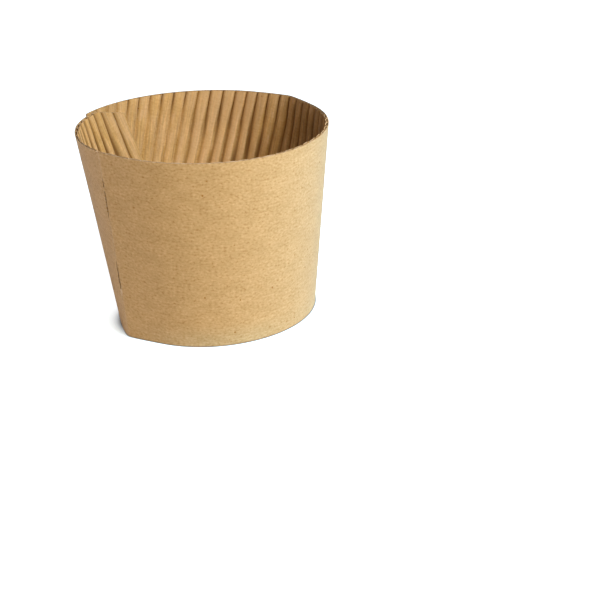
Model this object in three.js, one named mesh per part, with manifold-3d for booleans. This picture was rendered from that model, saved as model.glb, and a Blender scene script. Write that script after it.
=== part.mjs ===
import * as THREE from 'three';
import * as BufferGeometryUtils from 'three/addons/utils/BufferGeometryUtils.js';
import Module from 'manifold-3d';

// Cup sleeve of single-face corrugated board, opened and standing. Millimetres, +Z up.
// The blank is a flat band between two arcs. Its ends lap at the back left, where the
// inner end is glued inside the outer one. +X runs from the perforated crease to the
// plain crease, and the front panel faces -Y.

// Blank. Its ends are measured across the flutes, from the one that runs straight up
// the slope, which stands at this share of the way round from the perforated crease
const SLANT_HEIGHT = 60;
const TOP_ARC_RADIUS = 339;
const TOP_FOLDED_WIDTH = 121.5;
const BOTTOM_FOLDED_WIDTH = 102.6;
const STRAIGHT_FLUTE_AT = 0.215;
const INNER_END = 109;
const OUTER_END_TOP = 142.3;
const OUTER_END_BOTTOM = 126;

// Board: a smooth outer liner and a fluted medium glued to its inside
const LINER = 0.35;
const MEDIUM = 0.3;
const FLUTE_RISE = 0.6;
const FLUTE_PITCH = 4;
const FLUTE_ROUNDNESS = 2.6;

// Lap of the two ends
const GLUE_FILM = 0.2;
const SINK_FROM = 2;
const SINK_TO = 28;
const GLUE_LINES = 2;
const GLUE_LINE_WIDTH = 4;
const GLUE_LINE_SPACING = 9;
const FIRST_GLUE_LINE = 6.5;
const GLUE_BITE = 0.13;
const INNER_END_TAPER = 11;
const INNER_END_TOP_DROP = 3.7;
const INNER_END_BOTTOM_RISE = 3;
const OUTER_END_BLUNTING = 1.2;

// Perforated crease
const NICK_SPACING = 11;
const FIRST_NICK = 4.6;
const NICK_LENGTH = 1.2;
const CUT_WIDTH = 0.3;

// Shape of the two rims as the opened sleeve stands, angles counted from the
// perforated crease: an oval, a slight trefoil and two corners with flat flanks
const TOP_RIM = {
  oval: 0.0288,
  ovalTurn: THREE.MathUtils.degToRad(-32.5),
  trefoil: -0.013,
  perforatedFlank: THREE.MathUtils.degToRad(10.2),
  plainFlank: THREE.MathUtils.degToRad(18.4),
  plainCrease: THREE.MathUtils.degToRad(184),
};
const BOTTOM_RIM = {
  oval: 0.0375,
  ovalTurn: THREE.MathUtils.degToRad(9.8),
  trefoil: 0.0102,
  perforatedFlank: THREE.MathUtils.degToRad(21.3),
  plainFlank: THREE.MathUtils.degToRad(3),
  plainCrease: THREE.MathUtils.degToRad(184),
};
const CORNER_SOFTNESS = 0.03;
const LEAN = new THREE.Vector2(-1.6, 2.6);

// Facets
const ROWS = 4;
const OUTER_STEPS = [0, 0.5, 1];
const INNER_STEPS = [0, 0.12, 0.32, 0.68, 0.88, 1];
const TUNNEL_FOOT = 0.09;
const TUNNEL_STEPS = [TUNNEL_FOOT, 0.25, 0.5, 0.75, 1 - TUNNEL_FOOT];
const GLUE_ROWS = 8;
const CUTTER_REACH = 0.6;

const BOARD = LINER + FLUTE_RISE + MEDIUM;
const BOTTOM_ARC_RADIUS = TOP_ARC_RADIUS - SLANT_HEIGHT;
const FLUTES = Math.round((INNER_END + OUTER_END_TOP) / FLUTE_PITCH);
const FLUTE_STEP = (INNER_END + OUTER_END_TOP) / FLUTES;

const { lerp, smoothstep, clamp } = THREE.MathUtils;

// A closed rim in polar form, turning anticlockwise from the perforated crease
class RimCurve extends THREE.Curve {
  constructor(shape, girth, centre) {
    super();
    this.arcLengthDivisions = 720;
    this.shape = shape;
    this.centre = new THREE.Vector2();
    this.radius = 1;
    this.radius = girth / this.getLength();
    this.centre.copy(centre);
    this.updateArcLengths();
  }

  getPoint(t, target = new THREE.Vector2()) {
    const angle = t * 2 * Math.PI;
    const { oval, ovalTurn, trefoil, perforatedFlank, plainFlank, plainCrease } = this.shape;
    const round = 1 + oval * Math.cos(2 * (angle - ovalTurn)) + trefoil * Math.cos(3 * angle);
    const corners = corner(angle, perforatedFlank) * corner(angle - plainCrease, plainFlank);
    const reach = this.radius * round * corners;
    target.set(-reach * Math.cos(angle), -reach * Math.sin(angle));
    return target.add(this.centre);
  }
}

// How far a corner with flat flanks stands out from a unit circle
function corner(angle, flank) {
  const turn = Math.atan2(Math.sin(angle), Math.cos(angle));
  return 1 / Math.cos(Math.max(flank - Math.hypot(turn, CORNER_SOFTNESS), 0));
}

const topRim = new RimCurve(TOP_RIM, 2 * TOP_FOLDED_WIDTH, LEAN);
const bottomRim = new RimCurve(BOTTOM_RIM, 2 * BOTTOM_FOLDED_WIDTH, new THREE.Vector2());

// A point of the wall: share of the way round, share of the way up, distance outward
function onSleeve(round, up, outward) {
  const share = round - Math.floor(round);
  const low = bottomRim.getPointAt(share);
  const high = topRim.getPointAt(share);
  const rise = Math.sqrt(SLANT_HEIGHT ** 2 - low.distanceToSquared(high));
  const along = bottomRim.getTangentAt(share).lerp(topRim.getTangentAt(share), up).normalize();
  const foot = low.lerp(high, up);
  return new THREE.Vector3(foot.x + along.y * outward, foot.y - along.x * outward, rise * up);
}

function bottomArc(x) {
  return Math.sqrt(BOTTOM_ARC_RADIUS ** 2 - x * x);
}

function topArc(x) {
  return Math.sqrt(TOP_ARC_RADIUS ** 2 - x * x);
}

function lowerEdge(x) {
  return Math.max(bottomArc(x) + INNER_END_BOTTOM_RISE * taper(x), outerEndCut(x));
}

function upperEdge(x) {
  return topArc(x) - INNER_END_TOP_DROP * taper(x);
}

// The slanting cut of the outer end, from its bottom corner to just past its top one
function outerEndCut(x) {
  const high = OUTER_END_TOP + OUTER_END_BLUNTING;
  const share = (x - OUTER_END_BOTTOM) / (high - OUTER_END_BOTTOM);
  return lerp(bottomArc(OUTER_END_BOTTOM), topArc(high), share);
}

// Zero along the blank, rising to one at the inner end's cut
function taper(x) {
  return clamp((INNER_END_TAPER - INNER_END - x) / INNER_END_TAPER, 0, 1);
}

// A point of the blank, x across the flutes, share along the flute, wrapped round the
// sleeve at a depth in from the liner's outer face
function wrap(x, share, depth) {
  const y = lerp(lowerEdge(x), upperEdge(x), share);
  const radius = Math.hypot(x, y);
  const up = (radius - BOTTOM_ARC_RADIUS) / SLANT_HEIGHT;
  const girth = 2 * lerp(BOTTOM_FOLDED_WIDTH, TOP_FOLDED_WIDTH, up);
  const round = STRAIGHT_FLUTE_AT + (radius * Math.atan2(x, y)) / girth;
  return onSleeve(round, up, -lapSink(-round * girth) - depth);
}

// Behind the perforated crease the inner end moves inward to pass under the outer end
function lapSink(behindCrease) {
  return (BOARD + GLUE_FILM) * smoothstep(behindCrease, SINK_FROM, SINK_TO);
}

function fluteRise(share, foot) {
  return FLUTE_RISE * (1 - Math.abs((2 * share - 1) / (1 - 2 * foot)) ** FLUTE_ROUNDNESS);
}

function outerLine() {
  return OUTER_STEPS.map((u) => [u, 0]);
}

function innerLine() {
  return INNER_STEPS.map((u) => [u, LINER + MEDIUM + fluteRise(u, 0)]);
}

function tunnelRoof() {
  return TUNNEL_STEPS.map((u) => [u, LINER + fluteRise(u, TUNNEL_FOOT)]);
}

function tunnelFloor() {
  return [[TUNNEL_FOOT, LINER], [1 - TUNNEL_FOOT, LINER]];
}

class Skin {
  constructor() {
    this.points = [];
  }

  triangle(a, b, c) {
    this.points.push(a, b, c);
  }

  quad(a, b, c, d) {
    this.triangle(a, b, c);
    this.triangle(a, c, d);
  }

  // A grid of quads over place(i, j), facing out where i runs right and j runs up
  sheet(columns, rows, place, flipped) {
    for (let i = 0; i < columns; i++) {
      for (let j = 0; j < rows; j++) {
        const ring = [place(i, j), place(i + 1, j), place(i + 1, j + 1), place(i, j + 1)];
        this.quad(...(flipped ? ring.reverse() : ring));
      }
    }
  }

  geometry() {
    const loose = new THREE.BufferGeometry().setFromPoints(this.points);
    return BufferGeometryUtils.mergeVertices(loose, 1e-4);
  }
}

// One flute of the board: outer face, inner face, tunnel and the cut faces at both rims
function addFlute(skin, index) {
  const left = index * FLUTE_STEP - INNER_END;
  const place = ([u, depth], row) => wrap(left + u * FLUTE_STEP, row / ROWS, depth);
  const lay = (line, flipped) => {
    skin.sheet(line.length - 1, ROWS, (i, j) => place(line[i], j), flipped);
  };
  lay(outerLine(), false);
  lay(innerLine(), true);
  lay(tunnelRoof(), false);
  lay(tunnelFloor(), true);
  addCutFace(skin, (spot) => place(spot, 0), true);
  addCutFace(skin, (spot) => place(spot, ROWS), false);
}

function addCutFace(skin, place, facesDown) {
  const board = [...outerLine(), ...innerLine().reverse()].map((spot) => new THREE.Vector2(...spot));
  const tunnel = tunnelRoof().map((spot) => new THREE.Vector2(...spot));
  const spots = [...board, ...tunnel];
  for (const [a, b, c] of THREE.ShapeUtils.triangulateShape(board, [tunnel])) {
    const turnsLeft = THREE.ShapeUtils.area([spots[a], spots[b], spots[c]]) > 0;
    const order = turnsLeft === facesDown ? [c, b, a] : [a, b, c];
    skin.triangle(...order.map((k) => place([spots[k].x, spots[k].y])));
  }
}

function addEndCut(skin, x, flipped) {
  const depths = [LINER + MEDIUM, 0];
  skin.sheet(1, ROWS, (i, j) => wrap(x, j / ROWS, depths[i]), flipped);
}

function boardGeometry() {
  const skin = new Skin();
  for (let index = 0; index < FLUTES; index++) {
    addFlute(skin, index);
  }
  addEndCut(skin, -INNER_END, false);
  addEndCut(skin, OUTER_END_TOP, true);
  return skin.geometry();
}

// A closed six-sided bar, place(i, j, k) with i to the right, j up and k outward
function barGeometry(rows, place) {
  const skin = new Skin();
  skin.sheet(1, rows, (i, j) => place(i, j, 1), false);
  skin.sheet(1, rows, (i, j) => place(i, j, 0), true);
  skin.sheet(1, rows, (k, j) => place(0, j, k), false);
  skin.sheet(1, rows, (k, j) => place(1, j, k), true);
  skin.quad(place(0, 0, 0), place(1, 0, 0), place(1, 0, 1), place(0, 0, 1));
  skin.quad(place(0, rows, 1), place(1, rows, 1), place(1, rows, 0), place(0, rows, 0));
  return skin.geometry();
}

// A line of glue along the inner end's flutes, biting into both layers of the lap
function glueGeometry(index) {
  const x = FIRST_GLUE_LINE + index * GLUE_LINE_SPACING - INNER_END;
  const outward = [-GLUE_BITE, GLUE_FILM + GLUE_BITE];
  return barGeometry(GLUE_ROWS, (i, j, k) => {
    const share = lerp(0.05, 0.95, j / GLUE_ROWS);
    return wrap(x + (i - 0.5) * GLUE_LINE_WIDTH, share, -outward[k]);
  });
}

function cutterGeometry(from, to) {
  const halfTurn = CUT_WIDTH / (TOP_FOLDED_WIDTH + BOTTOM_FOLDED_WIDTH) / 2;
  const outward = [-BOARD - CUTTER_REACH, CUTTER_REACH];
  return barGeometry(1, (i, j, k) => {
    const up = (j ? to : from) / SLANT_HEIGHT;
    return onSleeve((2 * i - 1) * halfTurn, up, outward[k]);
  });
}

// The cuts between the nicks, the first and last running out at the rims
function perforation() {
  const cutters = [];
  for (let nick = FIRST_NICK - NICK_SPACING; nick < SLANT_HEIGHT; nick += NICK_SPACING) {
    const from = Math.max(nick + NICK_LENGTH / 2, -CUTTER_REACH);
    const to = Math.min(nick + NICK_SPACING - NICK_LENGTH / 2, SLANT_HEIGHT + CUTTER_REACH);
    if (to > from) cutters.push(cutterGeometry(from, to));
  }
  return cutters;
}

const wasm = await Module();
wasm.setup();

function toSolid(geometry) {
  return new wasm.Manifold(new wasm.Mesh({
    numProp: 3,
    vertProperties: new Float32Array(geometry.getAttribute('position').array),
    triVerts: new Uint32Array(geometry.index.array),
  }));
}

function toGeometry(solid) {
  const { vertProperties, triVerts } = solid.getMesh();
  const geometry = new THREE.BufferGeometry();
  geometry.setAttribute('position', new THREE.BufferAttribute(vertProperties, 3));
  geometry.setIndex(new THREE.BufferAttribute(triVerts, 1));
  return geometry;
}

function sleeveGeometry() {
  let solid = toSolid(boardGeometry());
  for (let index = 0; index < GLUE_LINES; index++) {
    solid = solid.add(toSolid(glueGeometry(index)));
  }
  for (const cutter of perforation()) {
    solid = solid.subtract(toSolid(cutter));
  }
  return toGeometry(withoutPockets(solid));
}

// Air trapped between the glue and a flute is filled
function withoutPockets(solid) {
  const shells = solid.decompose();
  return shells.reduce((main, shell) => (shell.volume() > main.volume() ? shell : main));
}

// The sleeve stands with its box centred on the origin
function centred(geometry) {
  geometry.computeBoundingBox();
  const centre = geometry.boundingBox.getCenter(new THREE.Vector3());
  return geometry.translate(-centre.x, -centre.y, 0);
}

const kraftBoard = new THREE.MeshStandardMaterial({ color: 0xc9a067, roughness: 0.85, metalness: 0 });

const sleeve = new THREE.Mesh(centred(sleeveGeometry()), kraftBoard);
sleeve.name = 'cup_sleeve';

const part = new THREE.Group();
part.add(sleeve);

export default part;
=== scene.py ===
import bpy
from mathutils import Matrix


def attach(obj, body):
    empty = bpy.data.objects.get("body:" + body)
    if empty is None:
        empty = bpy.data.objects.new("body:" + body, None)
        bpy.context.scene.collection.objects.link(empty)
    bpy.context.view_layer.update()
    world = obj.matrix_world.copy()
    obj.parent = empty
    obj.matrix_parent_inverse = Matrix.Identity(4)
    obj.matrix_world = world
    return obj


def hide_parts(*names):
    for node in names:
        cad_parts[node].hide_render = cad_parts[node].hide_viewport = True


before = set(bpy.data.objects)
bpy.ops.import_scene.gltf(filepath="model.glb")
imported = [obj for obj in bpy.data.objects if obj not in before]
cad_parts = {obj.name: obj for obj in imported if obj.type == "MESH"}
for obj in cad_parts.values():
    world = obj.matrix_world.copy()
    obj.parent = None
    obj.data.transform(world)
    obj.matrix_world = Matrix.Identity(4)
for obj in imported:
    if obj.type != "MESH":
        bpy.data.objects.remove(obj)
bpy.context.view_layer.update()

import math

import bpy
import numpy as np
from mathutils import Vector, noise

NODE = "cup_sleeve"
MM = 0.001

# Blank, cut between two arcs and between its inner and outer ends
SLANT_HEIGHT = 60
TOP_ARC_RADIUS = 339
BOTTOM_ARC_RADIUS = TOP_ARC_RADIUS - SLANT_HEIGHT
TOP_FOLDED_WIDTH = 121.5
BOTTOM_FOLDED_WIDTH = 102.6
INNER_END = 109
INNER_END_TAPER = 11
INNER_END_TOP_DROP = 3.7
INNER_END_BOTTOM_RISE = 3
OUTER_END_TOP = 142.3
OUTER_END_BOTTOM = 126
OUTER_END_BLUNTING = 1.2

# Share of the way round, from the perforated crease, at which x is 0
STRAIGHT_FLUTE_AT = 0.215

# Lean of the flap's end towards the crease, which grows between these distances left of x 0
LEAN_GROWS = (62, 100)
LEAN_AT_RIM = 0.2
LEAN_PER_MM = 0.085
LEAN_MOST = 1.6

# Board
LINER = 0.27
MEDIUM = 0.23
FLUTE_RISE = 0.8
FLUTES = 63
PITCH = (INNER_END + OUTER_END_TOP) / FLUTES
BOARD = LINER + FLUTE_RISE + MEDIUM

# Lap: distances past the crease over which the flap sinks inside the wall
SINK_FROM = 2
SINK_TO = 28

# Glue in the lap, and the distances from the cut end over which its film thickens
GLUE_FILM = 0.2
FILM_THICKENS = (-1.5, 6)
GLUE_LINE_STARTS = (6.5, 15.5)
GLUE_LINE_WIDTH = 4
GLUE_STOPS_SHORT = 1.5
GLUE_STOPS_BELOW_RIM = (1.5, 23)

# Perforated crease
NICK_SPACING = 11
FIRST_NICK = 4.6
NICK_LENGTH = 1.2
CUT_WIDTH = 0.55
NEAR_CREASE = 6
BESIDE_CUT = 0.6 * CUT_WIDTH

# How far the slits stand open, by height up the crease
OPENING_HEIGHTS = (0, 15, 16.2, 20, 24, 26, 39, 41, 44, 48, 49.2, 51, 52.5, 60)
OPENING_SHARES = (0.15, 0.15, 0.8, 1, 0.7, 0.15, 0.15, 0.7, 1, 0.9, 1, 0.7, 0.15, 0.15)

# Wear along the perforated crease, and the nick that is torn
WORN_WIDTH = 0.4
WORN_MOST = 0.35
TORN_NICK = 15.6
TORN_LENGTH = 0.7
TORN_STRENGTH = 2.5

# Painted pale light on the liner, where the light falls towards the plain crease, by place on the
# board, and how much more at its lower edge
PAINTED_PALE_PLACES = (-30, -13, 0, 20, 30, 40, 60, 80, 142.3)
PAINTED_PALE_SHARES = (0, 0.12, 0.28, 0.6, 0.85, 1, 0.5, 0.1, 0)
LOW_PLACES = (-45, -20, -2, 10, 142.3)
LOW_SHARES = (0, 0.5, 0.5, 0.15, 0.1)
LOW_HEIGHT = 9

# Rims, angles counted from the perforated crease
TOP_RIM = {
    "oval": 0.0288,
    "oval_turn": math.radians(-32.5),
    "trefoil": -0.013,
    "perforated_flank": math.radians(10.2),
    "plain_flank": math.radians(18.4),
    "plain_crease": math.radians(184),
}
BOTTOM_RIM = {
    "oval": 0.0375,
    "oval_turn": math.radians(9.8),
    "trefoil": 0.0102,
    "perforated_flank": math.radians(21.3),
    "plain_flank": math.radians(3),
    "plain_crease": math.radians(184),
}
RIM_STEPS = 7200
HEADING_STEP = 2e-4
CORNER_SOFTNESS = 0.03

# Middles of the top rim and of the sleeve's box, from the middle of the bottom rim
TOP_RIM_CENTRE = (-1.6, 2.6)
BOX_CENTRE = (-0.5530, 2.6781)

# Steps of the sheets' grids: to a flute in the liner, to a flute in the medium, and up
LINER_STEPS = 6
FLUTE_STEPS = 14
ROWS = 40
GLUE_COLUMNS = 4

SMOOTH_BELOW = math.radians(38)


# The way the blank is cut and folded

def lerp(a, b, share):
    return a + (b - a) * share


def smooth(value, low, high):
    share = np.clip((value - low) / (high - low), 0, 1)
    return share * share * (3 - 2 * share)


def corner(angle, flank):
    """How much further out the rim lies near a crease, where its two flanks are straight."""
    turn = np.arctan2(np.sin(angle), np.cos(angle))
    return 1 / np.cos(np.maximum(flank - np.hypot(turn, CORNER_SOFTNESS), 0))


class Rim:
    """A closed rim, turning anticlockwise from the perforated crease."""

    def __init__(self, shape, girth, centre):
        angle = np.linspace(0, 2 * np.pi, RIM_STEPS + 1)
        reach = 1 + shape["oval"] * np.cos(2 * (angle - shape["oval_turn"]))
        reach += shape["trefoil"] * np.cos(3 * angle)
        reach *= corner(angle, shape["perforated_flank"])
        reach *= corner(angle - shape["plain_crease"], shape["plain_flank"])
        points = np.stack([-reach * np.cos(angle), -reach * np.sin(angle)], -1)
        steps = np.linalg.norm(np.diff(points, axis=0), axis=1)
        length = np.concatenate([[0], np.cumsum(steps)])
        self.share = length / length[-1]
        self.points = points * girth / length[-1] + np.array(centre)

    def at(self, share):
        turned = np.mod(share, 1)
        return np.stack([np.interp(turned, self.share, self.points[:, k]) for k in (0, 1)], -1)

    def heading(self, share):
        ahead = self.at(share + HEADING_STEP) - self.at(share - HEADING_STEP)
        return ahead / np.linalg.norm(ahead, axis=-1, keepdims=True)


top_rim = Rim(TOP_RIM, 2 * TOP_FOLDED_WIDTH, TOP_RIM_CENTRE)
bottom_rim = Rim(BOTTOM_RIM, 2 * BOTTOM_FOLDED_WIDTH, (0, 0))


def girth_at(up):
    return 2 * lerp(BOTTOM_FOLDED_WIDTH, TOP_FOLDED_WIDTH, up)


def share_up(x, y):
    return (np.hypot(x, y) - BOTTOM_ARC_RADIUS) / SLANT_HEIGHT


def on_sleeve(around, up, outward):
    """Points on the sleeve, by share round, share up and distance out of its smooth side."""
    low = bottom_rim.at(around)
    high = top_rim.at(around)
    rise = np.sqrt(SLANT_HEIGHT ** 2 - ((high - low) ** 2).sum(-1))
    along = lerp(bottom_rim.heading(around), top_rim.heading(around), up[:, None])
    along /= np.linalg.norm(along, axis=-1, keepdims=True)
    foot = lerp(low, high, up[:, None])
    return np.stack([
        foot[:, 0] + along[:, 1] * outward,
        foot[:, 1] - along[:, 0] * outward,
        rise * up,
    ], -1)


def share_round(x, y):
    """Share of the way round from the perforated crease."""
    return STRAIGHT_FLUTE_AT + np.hypot(x, y) * np.arctan2(x, y) / girth_at(share_up(x, y))


def flap_sink(past_crease, film):
    """How far inside the sleeve's wall the flap lies, this far past the perforated crease."""
    return (BOARD + film) * smooth(past_crease, SINK_FROM, SINK_TO)


def fold(flat):
    """Points of the flat blank, folded onto the standing sleeve, in metres."""
    x, y, z = flat.T
    around, up = share_round(x, y), share_up(x, y)
    film = GLUE_FILM * smooth(x + INNER_END, *FILM_THICKENS)
    standing = on_sleeve(around, up, z - flap_sink(-around * girth_at(up), film))
    standing[:, 0] -= BOX_CENTRE[0]
    standing[:, 1] -= BOX_CENTRE[1]
    return standing * MM


def arc(radius, x):
    """How high an arc lies at x, from the middle of the blank's arcs."""
    return np.sqrt(radius ** 2 - x * x)


def taper(x):
    return np.clip((INNER_END_TAPER - INNER_END - x) / INNER_END_TAPER, 0, 1)


def lower_edge(x):
    high = OUTER_END_TOP + OUTER_END_BLUNTING
    share = (x - OUTER_END_BOTTOM) / (high - OUTER_END_BOTTOM)
    cut = lerp(arc(BOTTOM_ARC_RADIUS, OUTER_END_BOTTOM), arc(TOP_ARC_RADIUS, high), share)
    return np.maximum(arc(BOTTOM_ARC_RADIUS, x) + INNER_END_BOTTOM_RISE * taper(x), cut)


def upper_edge(x):
    return arc(TOP_ARC_RADIUS, x) - INNER_END_TOP_DROP * taper(x)


def lean(x, up):
    """How far the flap's flutes and its cut end lean towards the crease, below the rim."""
    below_rim = (1 - up) * SLANT_HEIGHT
    return np.minimum(LEAN_AT_RIM + LEAN_PER_MM * below_rim, LEAN_MOST) * smooth(-x, *LEAN_GROWS)


def crease_spot(up):
    """Where the perforated crease lies on the flat blank."""
    radius = BOTTOM_ARC_RADIUS + SLANT_HEIGHT * up
    turn = -STRAIGHT_FLUTE_AT * girth_at(up) / radius
    return np.array([radius * math.sin(turn), radius * math.cos(turn)])


CREASE_FOOT = crease_spot(0)
CREASE_ALONG = (crease_spot(1) - CREASE_FOOT) / SLANT_HEIGHT
CREASE_ACROSS = np.array([CREASE_ALONG[1], -CREASE_ALONG[0]])


def from_crease(points):
    """Distance up the perforated crease and distance to its right."""
    away = points[:, :2] - CREASE_FOOT
    return away @ CREASE_ALONG, away @ CREASE_ACROSS


# Meshes and edit mode

def new_grid(name, columns, rows):
    """A flat grid, selected alone, with its points between -0.5 and 0.5."""
    bpy.ops.object.select_all(action="DESELECT")
    bpy.ops.mesh.primitive_grid_add(size=1, x_subdivisions=columns, y_subdivisions=rows)
    grid = bpy.context.active_object
    grid.name = name
    grid.data.name = name
    return grid


def points_of(piece):
    co = np.zeros(len(piece.data.vertices) * 3)
    piece.data.vertices.foreach_get("co", co)
    return co.reshape(-1, 3)


def move_points(piece, points):
    piece.data.vertices.foreach_set("co", points.astype(np.float32).ravel())
    piece.data.update()


def face_centres(piece):
    centres = np.zeros(len(piece.data.polygons) * 3)
    piece.data.polygons.foreach_get("center", centres)
    return centres.reshape(-1, 3)


def select_faces(piece, chosen):
    """Selects these faces alone, and opens the piece in edit mode."""
    mesh = piece.data
    mesh.vertices.foreach_set("select", np.zeros(len(mesh.vertices), bool))
    mesh.edges.foreach_set("select", np.zeros(len(mesh.edges), bool))
    mesh.polygons.foreach_set("select", chosen)
    bpy.ops.object.mode_set(mode="EDIT")


def leave_edit():
    bpy.ops.object.mode_set(mode="OBJECT")


def slice_faces(piece, chosen, at, facing):
    """Cuts these faces along a plane that stands upright on the blank."""
    select_faces(piece, chosen)
    bpy.ops.mesh.bisect(plane_co=(at[0], at[1], 0), plane_no=(facing[0], facing[1], 0))
    leave_edit()


def keep_share(piece, name, shares):
    """Stores a number at each point, for the colour there."""
    kept = piece.data.attributes.new(name, "FLOAT", "POINT")
    kept.data.foreach_set("value", shares.astype(np.float32))


def keep_flat_places(piece):
    """Stores where each point lies on the flat blank, for the paper's grain."""
    flat = piece.data.attributes.new("blank", "FLOAT_VECTOR", "POINT")
    flat.data.foreach_set("vector", points_of(piece).astype(np.float32).ravel())


def thicken(sheet, thickness):
    """Gives the sheet its thickness towards the inside of the sleeve."""
    solid = sheet.modifiers.new("thickness", "SOLIDIFY")
    solid.thickness = thickness
    solid.offset = -1
    solid.use_even_offset = True
    solid.material_offset_rim = 1
    bpy.context.view_layer.objects.active = sheet
    bpy.ops.object.modifier_apply(modifier=solid.name)


def finish_piece(piece):
    """Folds the flat piece onto the sleeve, smooths it, hangs it under the root body and hides the
    imported part.
    """
    keep_flat_places(piece)
    move_points(piece, fold(points_of(piece)))
    bpy.ops.object.select_all(action="DESELECT")
    piece.select_set(True)
    bpy.context.view_layer.objects.active = piece
    bpy.ops.object.shade_smooth_by_angle(angle=SMOOTH_BELOW)
    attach(piece, "root")
    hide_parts(NODE)


# Sheets of the board

def lean_columns(x, up):
    return x + lean(x, up)


def flat_sheet(name, columns, spread):
    """A sheet cut to the blank's outline, with its columns spread over it."""
    sheet = new_grid(name, columns, ROWS)
    bpy.context.tool_settings.mesh_select_mode = (False, False, True)
    points = points_of(sheet)
    up = points[:, 1] + 0.5
    x = spread(lerp(-INNER_END, OUTER_END_TOP, points[:, 0] + 0.5), up)
    y = lerp(lower_edge(x), upper_edge(x), up)
    move_points(sheet, np.stack([x, y, 0 * x], -1))
    return sheet


def cuts_between_nicks():
    """Where each slit starts and stops up the crease, 1 mm past the rims at the ends."""
    spans = []
    nick = FIRST_NICK - NICK_SPACING
    while nick < SLANT_HEIGHT:
        low = max(nick + NICK_LENGTH / 2, -1)
        high = min(nick + NICK_SPACING - NICK_LENGTH / 2, SLANT_HEIGHT + 1)
        if high > low:
            spans.append((low, high))
        nick += NICK_SPACING
    return spans


def within_crease(sheet, distance):
    """The faces whose middles lie within this distance of the perforated crease."""
    return np.abs(from_crease(face_centres(sheet))[1]) < distance


def perforate(sheet):
    """Cuts the slits between the nicks along the perforated crease."""
    for side in (-1, 1):
        at = CREASE_FOOT + CREASE_ACROSS * side * CUT_WIDTH / 2
        slice_faces(sheet, within_crease(sheet, NEAR_CREASE), at, CREASE_ACROSS)
    for span in cuts_between_nicks():
        for height in span:
            at = CREASE_FOOT + CREASE_ALONG * height
            slice_faces(sheet, within_crease(sheet, CUT_WIDTH / 2), at, CREASE_ALONG)
    height = from_crease(face_centres(sheet))[0]
    cut = np.zeros(len(height), bool)
    for low, high in cuts_between_nicks():
        cut |= (height > low) & (height < high)
    select_faces(sheet, cut & within_crease(sheet, CUT_WIDTH / 2))
    bpy.ops.mesh.delete(type="FACE")
    leave_edit()
    close_up(sheet)


def close_up(sheet):
    """Narrows the slits where they don't stand open."""
    points = points_of(sheet)
    up, across = from_crease(points)
    beside = np.abs(across) < BESIDE_CUT
    inward = across * (np.interp(up, OPENING_HEIGHTS, OPENING_SHARES) - 1) * beside
    points[:, :2] += inward[:, None] * CREASE_ACROSS
    move_points(sheet, points)


def wear_crease(sheet):
    """The paper is paler where the perforated crease is worn, and torn at one nick."""
    up, across = from_crease(points_of(sheet))
    line = np.exp(-(across / WORN_WIDTH) ** 2)
    torn = np.minimum(TORN_STRENGTH * np.exp(-((up - TORN_NICK) / TORN_LENGTH) ** 2), 1)
    closed = 1 - np.interp(up, OPENING_HEIGHTS, OPENING_SHARES)
    keep_share(sheet, "worn", line * np.maximum(WORN_MOST * closed, torn))


def paint_pale_light(sheet):
    """Painted pale light on the liner, towards the plain crease and along its lower edge."""
    points = points_of(sheet)
    x, y = points[:, 0], points[:, 1]
    low = np.interp(x, LOW_PLACES, LOW_SHARES) * (1 - smooth(y - lower_edge(x), 0, LOW_HEIGHT))
    painted_pale = np.interp(x, PAINTED_PALE_PLACES, PAINTED_PALE_SHARES)
    keep_share(sheet, "painted_pale", np.minimum(painted_pale + low, 1))


# How light the cut edges are, by place on the board, partly painted: painted shade where the rims
# lie in shade and painted light where they catch it
EDGE_PLACES = (-109, -104, -56, -54.5, -52.5, -50, -34, 10, 18, 41, 45, 49, 62, 142.3)
EDGE_TONES = (1.1, 0.75, 0.75, 1.35, 1.35, 1, 1, 1.05, 1.35, 1.45, 1, 0.55, 0.5, 0.6)


def tone_edges(sheet):
    x = points_of(sheet)[:, 0]
    keep_share(sheet, "edge_tone", np.interp(x, EDGE_PLACES, EDGE_TONES))


# Flutes of the medium

# How much closer the columns stand at the bottoms of the valleys
CROWDING = 0.6

# How far the flutes stray sideways, by place on the board, and how far they waver
STRAY_PLACES = (-109, -105.5, -101, -72, -60, 72, 84, 112, 124, 136, 142.3)
STRAYS = (0, 0.1, 1.4, 1.3, 0, 0, -0.5, -0.6, -1.3, -1.0, 0)
STRAY_HEIGHTS = (0.4, 0.95)
WAVER = 0.4
HELD_AT_ENDS = 8

# How soon below the rim the valleys widen, by place on the board, and from which depth to which
WIDENING_PLACES = (-60, -50, 98, 112)
WIDENING = (0.6, 1, 1, 1.6)
WIDENING_DEPTHS = (1, 14)

# How narrow the form of a valley is at the rim, and below it where it is narrow or wide
VALLEY_AT_RIM = 12
VALLEY_NARROW = 5
VALLEY_WIDE = 2.3

# How dark the painted shade is in the narrow bottoms and the wide bands of the valleys, below the
# rim
DARK_PLACES = (-109, -103, -100, -60, 60, 76, 82, 98, 106, 114, 142.3)
NARROW_SHARES = (1, 1, 0.8, 1, 0.8, 0.6, 0.1, 0, 0, 0.05, 0.05)
BAND_SHARES = (0.1, 0.1, 0.85, 0.85, 0.2, 0.5, 0.8, 0.6, 0.26, 0.1, 0.08)
BAND_EDGES = (0.55, 0.88)
BAND_RAGGED = 0.12

# How narrow the dark bottoms of the valleys are, by place on the board
SHARP_PLACES = (-98, -89, -60, -50)
SHARPNESS = (10, 3.1, 2.4, 14)

# How dark those bottoms are at the rim, by place on the board
AT_RIM_PLACES = (126, 128)
AT_RIM_SHARES = (1, 0.5)

# Distances from the cut end over which the bottoms come up to their dark
END_STAYS_PALE = (0.4, 2)

# How unevenly dark the valleys are, and between which places that sets in
DARK_VARIES = 0.8
VARIES_PLACES = (60, 80)

# The last flute at the inner end is pressed flat: distances from the end, and how far
LAST_FLUTE = (3.9, 4.7)
LAST_FLUTE_PRESSED = 0.5

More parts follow.
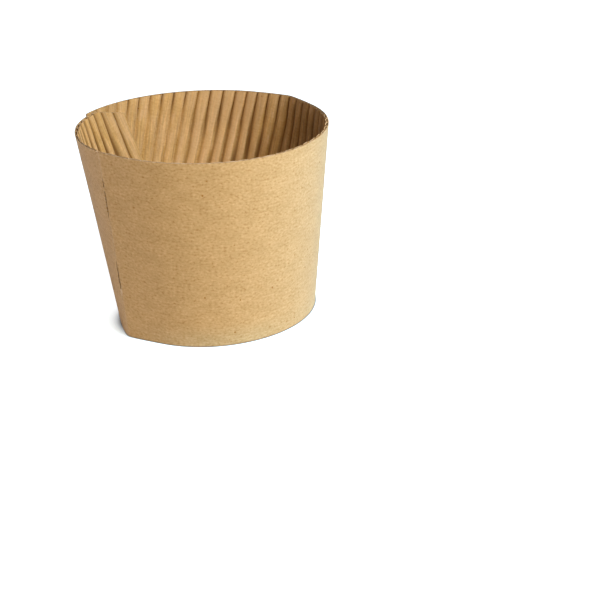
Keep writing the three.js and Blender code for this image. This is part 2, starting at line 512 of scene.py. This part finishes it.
# How flat the flutes are pressed at the cut edges, by place on the board
PRESSED_PLACES = (-80, -72, -56, -44, -33, 0, 14, 34, 46, 72)
PRESSED_SHARES = (0.1, 0.55, 0.5, 0.3, 0.8, 0.8, 0.5, 0.4, 0.25, 0.12)
PRESSED_VARIES = 0.4
PRESSED_MOST = 0.85
PRESSED_REACH = 0.9
CRUMPLE = 0.08

# How light the medium is, by place on the board: painted light and shade, lighter where the flap
# and the back wall face the lamps, darker on the right inside wall in shade
TONE_PLACES = (-109, -102, -95, -87, -60, -48, 0, 30, 48, 68, 78, 86, 94, 108, 125, 130, 142.3)
TONES = (0.92, 0.96, 1.1, 1.3, 1.3, 1, 1, 0.74, 0.6, 0.67, 1.12, 1.26, 1.27, 1.11, 1, 0.8, 0.76)

# How much the back of the medium darkens from the rim to this far below, and where on the board
SHADED_BELOW = 0.2
SHADED_DEPTH = 16
SHADED_PLACES = (95, 115)

# How far the tops of the flutes are rubbed pale, with a painted highlight, by place on the board
RUBBED_HIGHLIT_PLACES = (-109, -104, -100, 60, 76, 84, 100, 112, 142.3)
RUBBED_HIGHLIT_SHARES = (0.2, 0.2, 0, 0, 0.15, 0.5, 0.4, 0.1, 0.1)
RUBBED_HIGHLIT_EDGES = (0.05, 0.6)


def uneven(u, v, seed):
    """Soft unevenness between -1 and 1, with u and v counted in patches."""
    return np.array([noise.noise(Vector((a, b, seed))) for a, b in zip(u, v)])


def drift(x, up):
    """How far the flutes stray sideways."""
    held = smooth(np.minimum(x + INNER_END, OUTER_END_TOP - x), 0, HELD_AT_ENDS)
    stray = np.interp(x, STRAY_PLACES, STRAYS)
    stray *= np.where(x < 0, 1, smooth(up, *STRAY_HEIGHTS))
    return stray + lean(x, up) + WAVER * held * uneven(x / 11, up * 3.5, seed=2)


def before_drift(x, up):
    """Where this part of a flute would be if the flutes didn't stray."""
    return x - drift(x - drift(x, up), up)


def crowd_valleys(x, up):
    """Draws the columns together in the valleys, which stray a little."""
    place = (x + INNER_END) / PITCH
    crowded = place - CROWDING * np.sin(2 * np.pi * place) / (2 * np.pi)
    steady = crowded * PITCH - INNER_END
    return steady + drift(steady, up)


def valley_share(x, y):
    """1 at the bottom of a valley and 0 on top of a flute, for the form and for the colour."""
    from_end = before_drift(x, share_up(x, y)) + INNER_END
    soon = np.interp(x, WIDENING_PLACES, WIDENING)
    deep = smooth((upper_edge(x) - y) * soon, *WIDENING_DEPTHS)
    bottom = np.abs(np.cos(np.pi * from_end / PITCH))
    narrow = np.interp(x, DARK_PLACES, NARROW_SHARES)
    band = np.interp(x, DARK_PLACES, BAND_SHARES)
    ragged = BAND_RAGGED * uneven(x / 3, y / 8, seed=11)
    wide = smooth(bottom + ragged, *BAND_EDGES) * band * deep
    line = bottom ** np.interp(x, SHARP_PLACES, SHARPNESS) * smooth(from_end, *END_STAYS_PALE)
    at_rim = np.interp(x, AT_RIM_PLACES, AT_RIM_SHARES)
    # Painted shade of the valley bottoms and bands
    dark = line * lerp(at_rim, narrow, deep) + wide
    dark *= 1 + DARK_VARIES * smooth(x, *VARIES_PLACES) * uneven(x / 5, y / 12, seed=17)
    sharp = lerp(VALLEY_AT_RIM, lerp(VALLEY_NARROW, VALLEY_WIDE, band), deep)
    return bottom ** sharp, np.minimum(dark, 1)


def pressed_share(x, y):
    """The board is pressed flatter along its cut edges, most of all in front."""
    edge = np.maximum(np.minimum(upper_edge(x) - y, y - lower_edge(x)), 0)
    press = np.interp(x, PRESSED_PLACES, PRESSED_SHARES)
    press = np.clip(press + PRESSED_VARIES * uneven(x / 2.5, y / 8, seed=5), 0, PRESSED_MOST)
    from_end = before_drift(x, share_up(x, y)) + INNER_END
    flattened = LAST_FLUTE_PRESSED * (1 - smooth(from_end, *LAST_FLUTE))
    return (1 - press * np.exp(-edge / PRESSED_REACH)) * (1 - flattened)


def flute(sheet):
    """Presses the flutes into the flat medium, and stores its painted valley shade, its painted
    light and shade, and its rubbed and highlit tops.
    """
    points = points_of(sheet)
    x, y = points[:, 0], points[:, 1]
    valley, dark = valley_share(x, y)
    crumple = CRUMPLE * uneven(x / 1.3, y / 11, seed=7) * (1 - valley)
    points[:, 2] = -LINER - (FLUTE_RISE * (1 - valley) + crumple) * pressed_share(x, y)
    move_points(sheet, points)
    keep_share(sheet, "dark", dark)
    # Tone: painted light and shade by place, and darker below the rim on the back
    below = smooth(upper_edge(x) - y, 0, SHADED_DEPTH)
    shaded = SHADED_BELOW * smooth(x, *SHADED_PLACES) * (0.5 - below)
    keep_share(sheet, "tone", np.interp(x, TONE_PLACES, TONES) * (1 + shaded))
    rubbed_and_highlit = np.interp(x, RUBBED_HIGHLIT_PLACES, RUBBED_HIGHLIT_SHARES)
    keep_share(sheet, "rubbed_and_highlit", rubbed_and_highlit * (1 - smooth(valley, *RUBBED_HIGHLIT_EDGES)))


# Materials

PALE_LINER = (0.63, 0.414, 0.19)
DARK_LINER = (0.58, 0.375, 0.165)
WORN_LINER = (0.78, 0.6, 0.4)
PAINTED_FOOT_SHADE = (0.3, 0.22, 0.14)
PALE_MEDIUM = (0.62, 0.412, 0.2)
DARK_MEDIUM = (0.56, 0.358, 0.135)
PAINTED_VALLEY_SHADE = (0.22, 0.115, 0.03)
RUBBED_HIGHLIT_MEDIUM = (0.74, 0.53, 0.34)
SCUFFED_MEDIUM = (0.74, 0.53, 0.35)
PALE_EDGE = (0.66, 0.5, 0.34)
DARK_EDGE = (0.46, 0.33, 0.2)
THICK_GLUE = (0.74, 0.68, 0.56)
SOAKED_GLUE = (0.6, 0.5, 0.36)
UNCHANGED = (1.0, 1.0, 1.0)

# How much the grain moves red, green and blue, and how far it goes to the dark
BROWNING = (0.68, 1.07, 1.6)
DARKEST_GRAIN = -0.55

# How strong the grain is where it is mild and where it is strong, and how much it leans to the dark
MILD_GRAIN = 0.5
STRONG_GRAIN = 1.3
DARK_LEANING = 0.9

# How much the small and the large specks darken the paper
SMALL_SPECK = 0.1
LARGE_SPECK = 0.5

# What the painted pale light does to red, green and blue
PAINTED_PALE_LIGHT = (0.92, 1.19, 1.62)

# Height of the painted shade along the liner's foot
FOOT_SHADE_HEIGHT = 0.45

# Height of the paper's grain, in metres
GRAIN_RELIEF = 0.00006


class Shading:
    """Short ways to add and join the nodes of one material."""

    def __init__(self, name):
        self.material = bpy.data.materials.new(name)
        self.material.use_nodes = True
        self.nodes = self.material.node_tree.nodes
        self.links = self.material.node_tree.links
        self.shader = self.nodes["Principled BSDF"]
        self.colour = None

    def add(self, kind, **settings):
        node = self.nodes.new(kind)
        for key, value in settings.items():
            setattr(node, key, value)
        return node

    def join(self, source, target):
        self.links.new(source, target)

    def flat_place(self):
        return self.add("ShaderNodeAttribute", attribute_name="blank").outputs["Vector"]

    def place(self, width, height):
        """Places on the flat blank, counted in patches of this size in millimetres."""
        where = self.flat_place()
        mapping = self.add("ShaderNodeMapping")
        mapping.inputs["Scale"].default_value = (1 / width, 1 / height, 1)
        self.join(where, mapping.inputs["Vector"])
        return mapping.outputs["Vector"]

    def radius(self):
        """Distance from the middle of the blank's arcs."""
        where = self.flat_place()
        node = self.add("ShaderNodeVectorMath", operation="LENGTH")
        self.join(where, node.inputs[0])
        return node.outputs["Value"]

    def noise(self, width, height, detail, roughness):
        """A soft pattern from 0 to 1, in patches of this size in millimetres."""
        texture = self.add("ShaderNodeTexNoise")
        texture.inputs["Scale"].default_value = 1
        texture.inputs["Detail"].default_value = detail
        texture.inputs["Roughness"].default_value = roughness
        self.join(self.place(width, height), texture.inputs["Vector"])
        return texture.outputs["Fac"]

    def math(self, operation, a, b=None, c=None):
        node = self.add("ShaderNodeMath", operation=operation)
        for socket, value in zip(node.inputs, (a, b, c)):
            if value is None:
                continue
            if isinstance(value, (int, float)):
                socket.default_value = value
            else:
                self.join(value, socket)
        return node.outputs[0]

    def swing(self, fac, reach):
        """Turns a 0 to 1 pattern into a swing of this reach either side of nought."""
        return self.math("MULTIPLY_ADD", fac, 2 * reach, -reach)

    def flecked(self, fac, reach):
        """The same swing, mild for the most part with a few strong flecks, more so to the dark."""
        swing = self.swing(fac, 1.0)
        size = self.math("ABSOLUTE", swing)
        growth = self.math("MULTIPLY_ADD", size, STRONG_GRAIN * reach, MILD_GRAIN * reach)
        level = self.math("MULTIPLY", swing, growth)
        leaning = self.math("MULTIPLY_ADD", level, -DARK_LEANING, 1.0)
        return self.math("MULTIPLY", level, leaning)

    def multiply(self, a, b):
        node = self.add("ShaderNodeVectorMath", operation="MULTIPLY")
        self.join(a, node.inputs[0])
        self.join(b, node.inputs[1])
        return node.outputs[0]

    def grained(self, base, level):
        """Darker grain is browner, and lighter grain paler."""
        swing = self.add("ShaderNodeVectorMath", operation="MULTIPLY_ADD")
        self.join(self.math("MAXIMUM", level, DARKEST_GRAIN), swing.inputs[0])
        swing.inputs[1].default_value = BROWNING
        swing.inputs[2].default_value = UNCHANGED
        return self.multiply(base, swing.outputs[0])

    def tint(self, base, factor):
        node = self.add("ShaderNodeVectorMath", operation="SCALE")
        self.join(base, node.inputs[0])
        self.join(factor, node.inputs["Scale"])
        return node.outputs[0]

    def kept(self, name):
        return self.add("ShaderNodeAttribute", attribute_name=name).outputs["Fac"]

    def ramp(self, value, low, high):
        """0 below low, 1 above high."""
        node = self.add("ShaderNodeMapRange", interpolation_type="SMOOTHSTEP")
        node.inputs["From Min"].default_value = low
        node.inputs["From Max"].default_value = high
        self.join(value, node.inputs["Value"])
        return node.outputs["Result"]

    def specks(self, cell, radius, odds):
        """Small round spots, in this share of the cells."""
        texture = self.add("ShaderNodeTexVoronoi", feature="F1", voronoi_dimensions="2D")
        texture.inputs["Scale"].default_value = 1
        self.join(self.place(cell, cell), texture.inputs["Vector"])
        split = self.add("ShaderNodeSeparateColor")
        self.join(texture.outputs["Color"], split.inputs["Color"])
        chosen = self.math("LESS_THAN", split.outputs["Red"], odds)
        half = radius / cell / 2
        size = self.math("MULTIPLY_ADD", split.outputs["Green"], half, half)
        inside = self.math("LESS_THAN", texture.outputs["Distance"], size)
        return self.math("MULTIPLY", inside, chosen)

    def mix(self, fac, a, b):
        node = self.add("ShaderNodeMix", data_type="RGBA")
        self.join(fac, node.inputs["Factor"])
        colours = [socket for socket in node.inputs if socket.type == "RGBA"]
        for socket, value in zip(colours, (a, b)):
            if isinstance(value, tuple):
                socket.default_value = (*value, 1)
            else:
                self.join(value, socket)
        return [socket for socket in node.outputs if socket.type == "RGBA"][0]

    def bump(self, height, distance):
        node = self.add("ShaderNodeBump")
        node.inputs["Strength"].default_value = 1
        node.inputs["Distance"].default_value = distance
        self.join(height, node.inputs["Height"])
        self.join(node.outputs["Normal"], self.shader.inputs["Normal"])


def paper(name, pale, dark, grain, fibre, cloud=(7, 4)):
    """Kraft paper: fine grain, longer fibres across, soft clouds and dark specks."""
    shading = Shading(name)
    grain_pattern = shading.noise(0.88, 0.62, detail=2, roughness=0.55)
    fibre_pattern = shading.noise(4.5, 0.7, detail=2, roughness=0.5)
    cloud_pattern = shading.noise(*cloud, detail=2, roughness=0.6)
    grains = shading.flecked(grain_pattern, grain)
    level = shading.math("ADD", grains, shading.swing(fibre_pattern, fibre))
    small_specks = shading.specks(cell=3.1, radius=0.28, odds=0.35)
    level = shading.math("MULTIPLY_ADD", small_specks, -SMALL_SPECK, level)
    large_specks = shading.specks(cell=11, radius=0.32, odds=0.35)
    level = shading.math("MULTIPLY_ADD", large_specks, -LARGE_SPECK, level)
    tone = shading.mix(shading.ramp(cloud_pattern, 0.3, 0.7), dark, pale)
    shading.colour = shading.grained(tone, level)
    relief = shading.math("MULTIPLY_ADD", fibre_pattern, 0.6, grain_pattern)
    shading.bump(relief, GRAIN_RELIEF)
    return shading


def finish_paper(shading, rough, sheen):
    shader = shading.shader
    shading.join(shading.colour, shader.inputs["Base Color"])
    shader.inputs["Roughness"].default_value = rough
    shader.inputs["Specular IOR Level"].default_value = 0.4
    shader.inputs["Sheen Weight"].default_value = sheen
    shader.inputs["Sheen Roughness"].default_value = 0.5
    return shading.material


def liner_paper():
    """Smooth liner, with painted pale light and wear in places, and painted shade along its foot.
    """
    shading = paper("kraft_liner", PALE_LINER, DARK_LINER, grain=0.6, fibre=0.15)
    # Painted pale light, towards the plain crease and along the lower edge
    paling = shading.mix(shading.kept("painted_pale"), UNCHANGED, PAINTED_PALE_LIGHT)
    shading.colour = shading.multiply(shading.colour, paling)
    shading.colour = shading.mix(shading.kept("worn"), shading.colour, WORN_LINER)
    # Painted shade along the foot, where the liner meets the floor
    below = shading.math("SUBTRACT", BOTTOM_ARC_RADIUS + FOOT_SHADE_HEIGHT, shading.radius())
    foot = shading.ramp(below, 0, FOOT_SHADE_HEIGHT)
    shading.colour = shading.mix(foot, shading.colour, PAINTED_FOOT_SHADE)
    return finish_paper(shading, rough=0.6, sheen=0.25)


def medium_paper():
    """Fluted medium, streaked along its flutes, with painted light and shade by place, painted
    shade in the valleys, flute tops rubbed pale with a painted highlight, and scuffs.
    """
    shading = paper("kraft_medium", PALE_MEDIUM, DARK_MEDIUM, 0.3, 0.12, cloud=(2.4, 12))
    streaks_and_painted_light = shading.swing(shading.noise(0.5, 9, detail=2, roughness=0.6), 0.5)
    plies = shading.swing(shading.noise(3.5, 16, detail=1, roughness=0.5), 0.12)
    # Streaks, with the painted light and shade of the stored tone
    streaks_and_painted_light = shading.math("ADD", shading.math("ADD", streaks_and_painted_light, plies), shading.kept("tone"))
    shading.colour = shading.tint(shading.colour, streaks_and_painted_light)
    # Painted shade in the valleys
    shading.colour = shading.mix(shading.kept("dark"), shading.colour, PAINTED_VALLEY_SHADE)
    # Paler flute tops: rubbed, with a painted highlight
    shading.colour = shading.mix(shading.kept("rubbed_and_highlit"), shading.colour, RUBBED_HIGHLIT_MEDIUM)
    scuffs = shading.ramp(shading.noise(2.4, 7, detail=1, roughness=0.5), 0.64, 0.76)
    scuffs = shading.math("MULTIPLY", scuffs, 0.25)
    shading.colour = shading.mix(scuffs, shading.colour, SCUFFED_MEDIUM)
    return finish_paper(shading, rough=0.8, sheen=0.1)


def cut_paper():
    """Cut edges of both papers, paler and rougher than their faces, with painted light and shade
    along them.
    """
    shading = paper("kraft_cut_edge", PALE_EDGE, DARK_EDGE, grain=0.8, fibre=0.1)
    shading.colour = shading.tint(shading.colour, shading.kept("edge_tone"))
    return finish_paper(shading, rough=0.95, sheen=0)


def dried_glue():
    """Pale glue, a little uneven where it has soaked in."""
    shading = Shading("dried_glue")
    soaked = shading.ramp(shading.noise(3, 5, detail=2, roughness=0.5), 0.35, 0.65)
    shading.colour = shading.mix(soaked, THICK_GLUE, SOAKED_GLUE)
    return finish_paper(shading, rough=0.35, sheen=0)


outside = liner_paper()
inside = medium_paper()
cut_edge = cut_paper()
glue = dried_glue()

# Liner
liner = flat_sheet("outer_liner", LINER_STEPS * FLUTES, lean_columns)
perforate(liner)
wear_crease(liner)
paint_pale_light(liner)
tone_edges(liner)
liner.data.materials.append(outside)
liner.data.materials.append(cut_edge)
thicken(liner, LINER)
finish_piece(liner)

# Fluted medium
medium = flat_sheet("fluted_medium", FLUTE_STEPS * FLUTES, crowd_valleys)
perforate(medium)
flute(medium)
tone_edges(medium)
medium.data.materials.append(inside)
medium.data.materials.append(cut_edge)
thicken(medium, MEDIUM)
finish_piece(medium)


# Glue lines

def glue_line(number, start, below_rim):
    """A line of glue on the flap's liner, under the end that laps over it."""
    line = new_grid(f"glue_line_{number}", GLUE_COLUMNS, ROWS)
    points = points_of(line)
    x = start - INNER_END + (points[:, 0] + 0.5) * GLUE_LINE_WIDTH
    y = lerp(lower_edge(x) + GLUE_STOPS_SHORT, upper_edge(x) - below_rim, points[:, 1] + 0.5)
    move_points(line, np.stack([x, y, 0 * x + GLUE_FILM], -1))
    line.data.materials.append(glue)
    thicken(line, GLUE_FILM)
    finish_piece(line)


for number, (start, below_rim) in enumerate(zip(GLUE_LINE_STARTS, GLUE_STOPS_BELOW_RIM), 1):
    glue_line(number, start, below_rim)

# Floor: rings that follow the bottom rim, white to the camera away from it
FLOOR_RINGS = (-60, -1, 0, 0.2, 0.5, 1, 1.6, 2.5, 4, 6, 10, 3000)
FLOOR_SPOKES = 180
LAP_SHARE = share_round(OUTER_END_BOTTOM, arc(BOTTOM_ARC_RADIUS, OUTER_END_BOTTOM))

# Shade on the floor: inside the sleeve, where it touches, and beside the perforated crease
SHADE_WITHIN = (0.3, 0.55)
SHADE_TOUCHING = 0.9
TOUCHING_REACH = (0.05, 0.55)
SHADE_BESIDE = 0.95
SHADE_FADES = 2.2
SHADE_AT = -0.045
SHADE_REACH = 10

# Paint of the floor for the camera, in the open and in the shade, and for the light it returns
OPEN_FLOOR = (0.45, 0.7, 0.95)
SHADED_FLOOR = (0.09, 0.09, 0.09)
LIT_FLOOR = (0.79, 0.82, 0.87)
WHITE = (1, 1, 1, 1)


def foot_line(around):
    """Where the sleeve meets the floor, which is further in where only the flap does."""
    past_crease = (1 - around) * 2 * BOTTOM_FOLDED_WIDTH
    sink = flap_sink(past_crease, GLUE_FILM) * (around > LAP_SHARE)
    along = bottom_rim.heading(around)
    outward = np.column_stack([along[:, 1], -along[:, 0]])
    return bottom_rim.at(around) - outward * sink[:, None] - np.array(BOX_CENTRE)


def floor_points(points):
    """Turns a square grid into rings around the bottom rim, and tells how shaded each point is."""
    foot = foot_line(points[:, 0] + 0.5)
    middle = bottom_rim.points.mean(0) - np.array(BOX_CENTRE)
    away = foot - middle
    reach = np.linalg.norm(away, axis=1)
    ring = np.interp(points[:, 1] + 0.5, np.linspace(0, 1, len(FLOOR_RINGS)), FLOOR_RINGS)
    spot = middle + away * np.maximum(1 + ring / reach, 0)[:, None]
    darkest = bottom_rim.at(SHADE_AT) - np.array(BOX_CENTRE)
    from_darkest = np.linalg.norm(spot - darkest, axis=1)
    paling = np.maximum(ring, 0) / SHADE_FADES + (from_darkest / SHADE_REACH) ** 2
    beside = SHADE_BESIDE * np.exp(-paling)
    touching = SHADE_TOUCHING * (1 - smooth(ring, *TOUCHING_REACH))
    within = np.interp(ring, FLOOR_RINGS[:2], SHADE_WITHIN)
    shade = np.where(ring < 0, within, np.maximum(beside, touching))
    return np.column_stack([spot * MM, 0 * ring]), shade


def floor_paint():
    """White to the camera, less so where the sleeve shades it."""
    shading = Shading("white_floor")
    shader = shading.add("ShaderNodeBsdfDiffuse")
    glow = shading.add("ShaderNodeEmission")
    glow.inputs["Color"].default_value = WHITE
    seen = shading.add("ShaderNodeLightPath").outputs["Is Camera Ray"]
    shade = shading.kept("shade")
    paint = shading.mix(shade, OPEN_FLOOR, SHADED_FLOOR)
    shading.join(shading.mix(seen, LIT_FLOOR, paint), shader.inputs["Color"])
    clear = shading.math("SUBTRACT", 1.0, shade)
    shading.join(shading.math("MULTIPLY", seen, clear), glow.inputs["Strength"])
    both = shading.add("ShaderNodeAddShader")
    shading.join(shader.outputs[0], both.inputs[0])
    shading.join(glow.outputs[0], both.inputs[1])
    shading.join(both.outputs[0], shading.nodes["Material Output"].inputs["Surface"])
    return shading.material


floor = new_grid("floor", FLOOR_SPOKES, len(FLOOR_RINGS) - 1)
spots, shades = floor_points(points_of(floor))
move_points(floor, spots)
keep_share(floor, "shade", shades)
floor.data.materials.append(floor_paint())

# World: an even studio, white where the camera sees it
world = bpy.data.worlds.new("studio")
bpy.context.scene.world = world
world.use_nodes = True
nodes, links = world.node_tree.nodes, world.node_tree.links
surround = nodes["Background"]
surround.inputs["Color"].default_value = (1.0, 0.85, 0.7, 1)
surround.inputs["Strength"].default_value = 0.03
backdrop = nodes.new("ShaderNodeBackground")
backdrop.inputs["Color"].default_value = WHITE
backdrop.inputs["Strength"].default_value = 1
ray = nodes.new("ShaderNodeLightPath")
choose = nodes.new("ShaderNodeMixShader")
links.new(ray.outputs["Is Camera Ray"], choose.inputs["Fac"])
links.new(surround.outputs[0], choose.inputs[1])
links.new(backdrop.outputs[0], choose.inputs[2])
links.new(choose.outputs[0], nodes["World Output"].inputs["Surface"])

# Lamps, in metres and watts
LAMP_DISTANCE = 0.9
LAMP_TARGET = Vector((0, 0, 0.03))


def softbox(name, azimuth, elevation, size, power, colour):
    """A square lamp that faces the sleeve. Azimuth 0 is the camera's side, 90 its right."""
    turn = math.radians(azimuth - 45)
    tilt = math.radians(elevation)
    lamp = bpy.data.lights.new(name, "AREA")
    lamp.shape = "SQUARE"
    lamp.size = size
    lamp.energy = power
    lamp.color = colour
    holder = bpy.data.objects.new(name, lamp)
    bpy.context.scene.collection.objects.link(holder)
    level = math.cos(tilt)
    away = Vector((math.sin(turn) * level, -math.cos(turn) * level, math.sin(tilt)))
    holder.location = LAMP_TARGET + away * LAMP_DISTANCE
    holder.rotation_euler = (-away).to_track_quat("-Z", "Y").to_euler()


softbox("key", 60, 45, 0.45, 7.2, (0.98, 1.0, 0.98))
softbox("front_fill", 30, 36, 0.45, 2.4, (1.0, 0.72, 0.25))
softbox("side_fill", 98, 1, 0.08, 1.6, (1.0, 0.92, 0.82))
softbox("left_fill", -55, 45, 0.45, 1.3, (1.0, 0.8, 0.72))
softbox("low_left_fill", -100, 4, 0.2, 1.5, (1.0, 0.78, 0.7))

# Camera
lens_view = bpy.data.cameras.new("camera")
lens_view.lens = 73.338
lens_view.sensor_width = 36
camera = bpy.data.objects.new("camera", lens_view)
bpy.context.scene.collection.objects.link(camera)
camera.location = (-0.23496, -0.27684, 0.17282)
camera.rotation_euler = (math.radians(64.392), 0, math.radians(-45))
bpy.context.scene.camera = camera

bpy.context.scene.view_settings.view_transform = "Standard"
